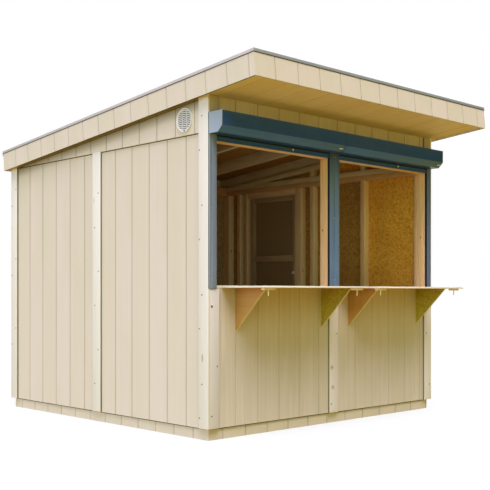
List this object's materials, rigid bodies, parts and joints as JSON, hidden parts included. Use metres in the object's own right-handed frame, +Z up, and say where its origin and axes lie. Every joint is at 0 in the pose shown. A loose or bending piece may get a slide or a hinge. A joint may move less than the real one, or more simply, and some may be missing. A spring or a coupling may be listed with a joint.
{
  "type": "street kiosk",
  "caption": "Timber sales kiosk with a single-pitch roof, shuttered serving windows with fold-out counters, grooved siding and a side door.",
  "frame": {"origin": "on the ground under the centre of the floor, on the underside of the middle bearer", "axes": "+Z up, +X to the right along the front, +Y from the serving side towards the back"},
  "size_m": [2.516, 3.1004, 2.4286],
  "materials": {
    "grooved_siding": "pale stained grooved wood siding, fine grain",
    "cover_boards": "pale stained planed boards, satin",
    "framing_timber": "planed framing timber, bare",
    "floor_board": "pressed flake board, bare",
    "bracket_board": "orange-tan board, one face of pressed flakes",
    "roof_covering": "dark grey sheet, matt",
    "roof_edge_metal": "light grey metal edge, satin",
    "shutter_metal": "dark blue-grey paint, satin",
    "vent_plastic": "off-white plastic",
    "peg_wood": "pale bare wood blocks with round pegs",
    "door_metal": "zinc-plated steel"
  },
  "bodies": {
    "kiosk": {"back_panels": "grooved_siding", "back_studs": "framing_timber", "back_trims": "cover_boards", "base_bearers": "framing_timber", "counter_brackets": "bracket_board", "counter_shelves": "cover_boards", "door_hinge_plates": "door_metal", "door_stops": "framing_timber", "door_surround": "cover_boards", "end_fascias": "grooved_siding", "floor_deck": "floor_board", "front_panels": "grooved_siding", "front_posts": "framing_timber", "front_studs": "framing_timber", "front_trims": "cover_boards", "gable_panels": "grooved_siding", "gable_rails": "framing_timber", "gable_studs": "framing_timber", "gable_top_plates": "framing_timber", "left_panels": "grooved_siding", "left_studs": "framing_timber", "plinth_boards": "grooved_siding", "rafters": "framing_timber", "right_panels": "grooved_siding", "right_studs": "framing_timber", "roof_covering": "roof_covering", "roof_deck": "floor_board", "roof_drip_edge": "roof_edge_metal", "roof_edge_trim": "roof_edge_metal", "shelf_pegs": "peg_wood", "shutter_bars": "shutter_metal", "shutter_guides": "shutter_metal", "shutter_housings": "shutter_metal", "side_fascias": "grooved_siding", "side_trims": "cover_boards", "soffit_boards": "grooved_siding", "sole_plates": "framing_timber", "top_plates": "framing_timber", "vent_grille": "vent_plastic", "window_linings": "framing_timber", "window_rails": "framing_timber"},
    "door": {"door_panel": "grooved_siding", "door_boards": "cover_boards", "door_framing": "framing_timber", "door_hinge_straps": "door_metal", "door_handle": "door_metal"}
  },
  "joints": [
    {"name": "door_hinge", "type": "hinge", "parent": "kiosk", "child": "door", "pos_m": [1.216, 0.867, 0], "axis": [0, 0, 1], "range_deg": [0, 110]}
  ]
}
